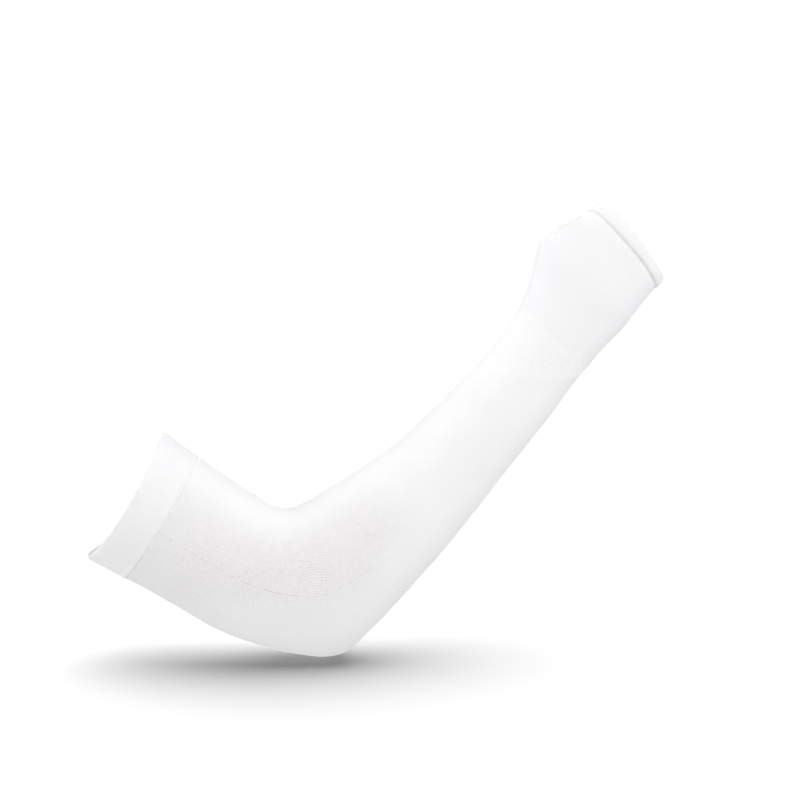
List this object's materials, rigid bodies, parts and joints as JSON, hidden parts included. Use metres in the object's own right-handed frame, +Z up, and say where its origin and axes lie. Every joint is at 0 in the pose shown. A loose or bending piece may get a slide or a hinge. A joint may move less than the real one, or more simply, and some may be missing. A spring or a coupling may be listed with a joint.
{
  "type": "cooling arm sleeve",
  "caption": "Knitted tube sleeve for a bent right arm, from the upper arm to the knuckles, with a gripping welt band, a ribbed wrist, a thumb hole and a folded knuckle hem.",
  "frame": {"origin": "centre of the opening at the upper-arm rim", "axes": "+X from the upper arm towards the hand, +Y towards the inner side of the arm, +Z up, with the upper arm falling towards the elbow and the forearm rising to the hand"},
  "size_m": [0.3802, 0.1421, 0.2902],
  "materials": {
    "welt_knit": "smooth double knit, white",
    "mesh_knit": "fine open knit, white",
    "rib_knit": "ribbed knit, white",
    "plain_knit": "smooth plain knit, white",
    "hem_knit": "folded hem, white"
  },
  "bodies": {
    "root": {"upper_band": "welt_knit", "arm_tube": "mesh_knit", "wrist_rib": "rib_knit", "hand_cover": "plain_knit", "thumb_hem": "hem_knit", "knuckle_hem": "hem_knit"}
  },
  "joints": []
}
